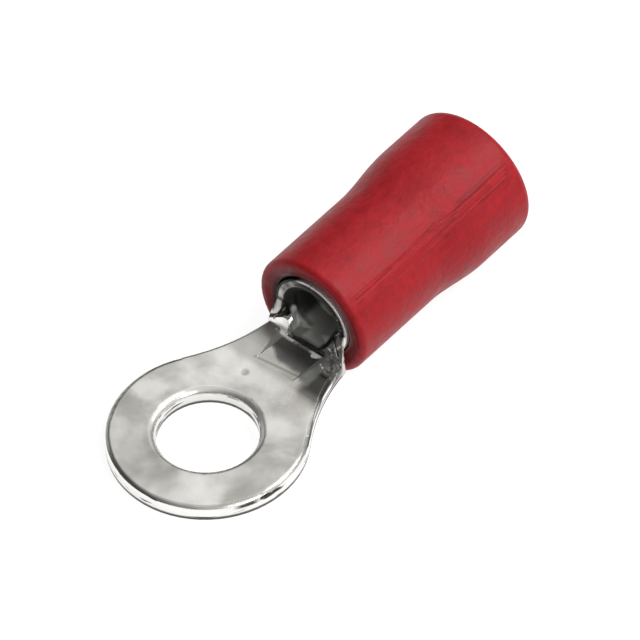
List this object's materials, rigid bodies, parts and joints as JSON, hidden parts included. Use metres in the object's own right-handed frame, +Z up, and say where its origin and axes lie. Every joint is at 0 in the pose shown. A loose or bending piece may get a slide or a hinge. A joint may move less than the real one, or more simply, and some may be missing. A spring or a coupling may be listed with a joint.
{
  "type": "ring terminal",
  "caption": "Insulated crimp ring terminal with a flat ring tongue for a stud, a rolled crimp barrel and a flared red vinyl sleeve.",
  "frame": {"origin": "stud hole axis, on the underside of the ring tongue", "axes": "+Z up through the stud hole, +X along the crimp barrel towards the wire entry, +Y to the left of that"},
  "size_m": [0.0215, 0.0084, 0.0062],
  "materials": {
    "tinned_copper": "satin",
    "red_vinyl": "satin"
  },
  "bodies": {
    "root": {"terminal": "tinned_copper", "insulation_sleeve": "red_vinyl"}
  },
  "joints": []
}
